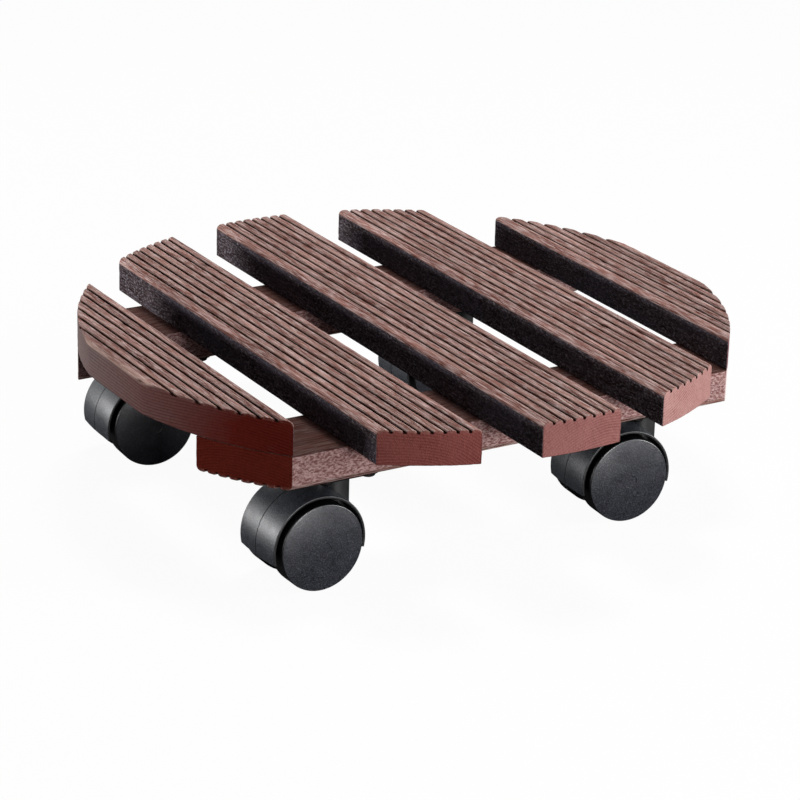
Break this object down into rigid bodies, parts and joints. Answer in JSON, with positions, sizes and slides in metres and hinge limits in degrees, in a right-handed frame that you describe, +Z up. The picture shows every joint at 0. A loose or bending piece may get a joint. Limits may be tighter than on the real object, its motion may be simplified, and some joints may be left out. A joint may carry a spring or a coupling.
{
  "type": "plant caddy",
  "caption": "Round wooden plant caddy: grooved boards on cross battens, cut to a disc, on hooded twin-wheel swivel castors.",
  "frame": {"origin": "on the floor, under the centre of the disc", "axes": "+Z up out of the deck, Y along the deck boards with the front at -Y, X along the battens"},
  "size_m": [0.2952, 0.3, 0.0825],
  "materials": {
    "board_wood": "red-brown stained pine, grooved",
    "batten_wood": "red-brown stained pine, rough sawn",
    "screw_steel": "zinc plated",
    "plate_steel": "zinc plated",
    "washer_nylon": "natural nylon",
    "spring_steel": "phosphated",
    "housing_nylon": "fine textured black nylon",
    "wheel_nylon": "fine textured black nylon",
    "axle_steel": "drawn steel"
  },
  "bodies": {
    "deck": {"board_1": "board_wood", "board_2": "board_wood", "board_3": "board_wood", "board_4": "board_wood", "board_5": "board_wood", "batten_front": "batten_wood", "batten_rear": "batten_wood", "board_screws": "screw_steel", "plate_screws": "screw_steel", "front_left_plate": "plate_steel", "front_left_pin": "plate_steel", "front_left_washer": "washer_nylon", "front_left_ring": "spring_steel", "front_right_plate": "plate_steel", "front_right_pin": "plate_steel", "front_right_washer": "washer_nylon", "front_right_ring": "spring_steel", "rear_left_plate": "plate_steel", "rear_left_pin": "plate_steel", "rear_left_washer": "washer_nylon", "rear_left_ring": "spring_steel", "rear_right_plate": "plate_steel", "rear_right_pin": "plate_steel", "rear_right_washer": "washer_nylon", "rear_right_ring": "spring_steel"},
    "front_left_castor": {"front_left_housing": "housing_nylon", "front_left_axle": "axle_steel"},
    "front_left_wheel_1": {"front_left_wheel_1": "wheel_nylon"},
    "front_left_wheel_2": {"front_left_wheel_2": "wheel_nylon"},
    "front_right_castor": {"front_right_housing": "housing_nylon", "front_right_axle": "axle_steel"},
    "front_right_wheel_1": {"front_right_wheel_1": "wheel_nylon"},
    "front_right_wheel_2": {"front_right_wheel_2": "wheel_nylon"},
    "rear_left_castor": {"rear_left_housing": "housing_nylon", "rear_left_axle": "axle_steel"},
    "rear_left_wheel_1": {"rear_left_wheel_1": "wheel_nylon"},
    "rear_left_wheel_2": {"rear_left_wheel_2": "wheel_nylon"},
    "rear_right_castor": {"rear_right_housing": "housing_nylon", "rear_right_axle": "axle_steel"},
    "rear_right_wheel_1": {"rear_right_wheel_1": "wheel_nylon"},
    "rear_right_wheel_2": {"rear_right_wheel_2": "wheel_nylon"}
  },
  "joints": [
    {"name": "front_left_swivel", "type": "hinge", "parent": "deck", "child": "front_left_castor", "pos_m": [-0.0808, -0.079, 0.0505], "axis": [0, 0, 1], "continuous": true},
    {"name": "front_left_wheel_1_roll", "type": "hinge", "parent": "front_left_castor", "child": "front_left_wheel_1", "pos_m": [-0.09609, -0.09142, 0.02], "axis": [-0.0175, 0.9998, 0], "continuous": true},
    {"name": "front_left_wheel_2_roll", "type": "hinge", "parent": "front_left_castor", "child": "front_left_wheel_2", "pos_m": [-0.09651, -0.06712, 0.02], "axis": [-0.0175, 0.9998, 0], "continuous": true},
    {"name": "front_right_swivel", "type": "hinge", "parent": "deck", "child": "front_right_castor", "pos_m": [0.0808, -0.079, 0.0505], "axis": [0, 0, 1], "continuous": true},
    {"name": "front_right_wheel_1_roll", "type": "hinge", "parent": "front_right_castor", "child": "front_right_wheel_1", "pos_m": [0.06449, -0.09004, 0.02], "axis": [0.0698, 0.9976, 0], "continuous": true},
    {"name": "front_right_wheel_2_roll", "type": "hinge", "parent": "front_right_castor", "child": "front_right_wheel_2", "pos_m": [0.06619, -0.0658, 0.02], "axis": [0.0698, 0.9976, 0], "continuous": true},
    {"name": "rear_left_swivel", "type": "hinge", "parent": "deck", "child": "rear_left_castor", "pos_m": [-0.0808, 0.079, 0.0505], "axis": [0, 0, 1], "continuous": true},
    {"name": "rear_left_wheel_1_roll", "type": "hinge", "parent": "rear_left_castor", "child": "rear_left_wheel_1", "pos_m": [-0.09691, 0.06768, 0.02], "axis": [0.0523, 0.9986, 0], "continuous": true},
    {"name": "rear_left_wheel_2_roll", "type": "hinge", "parent": "rear_left_castor", "child": "rear_left_wheel_2", "pos_m": [-0.09564, 0.09194, 0.02], "axis": [0.0523, 0.9986, 0], "continuous": true},
    {"name": "rear_right_swivel", "type": "hinge", "parent": "deck", "child": "rear_right_castor", "pos_m": [0.0808, 0.079, 0.0505], "axis": [0, 0, 1], "continuous": true},
    {"name": "rear_right_wheel_1_roll", "type": "hinge", "parent": "rear_right_castor", "child": "rear_right_wheel_1", "pos_m": [0.06509, 0.06712, 0.02], "axis": [0.0175, 0.9998, 0], "continuous": true},
    {"name": "rear_right_wheel_2_roll", "type": "hinge", "parent": "rear_right_castor", "child": "rear_right_wheel_2", "pos_m": [0.06551, 0.09142, 0.02], "axis": [0.0175, 0.9998, 0], "continuous": true}
  ]
}
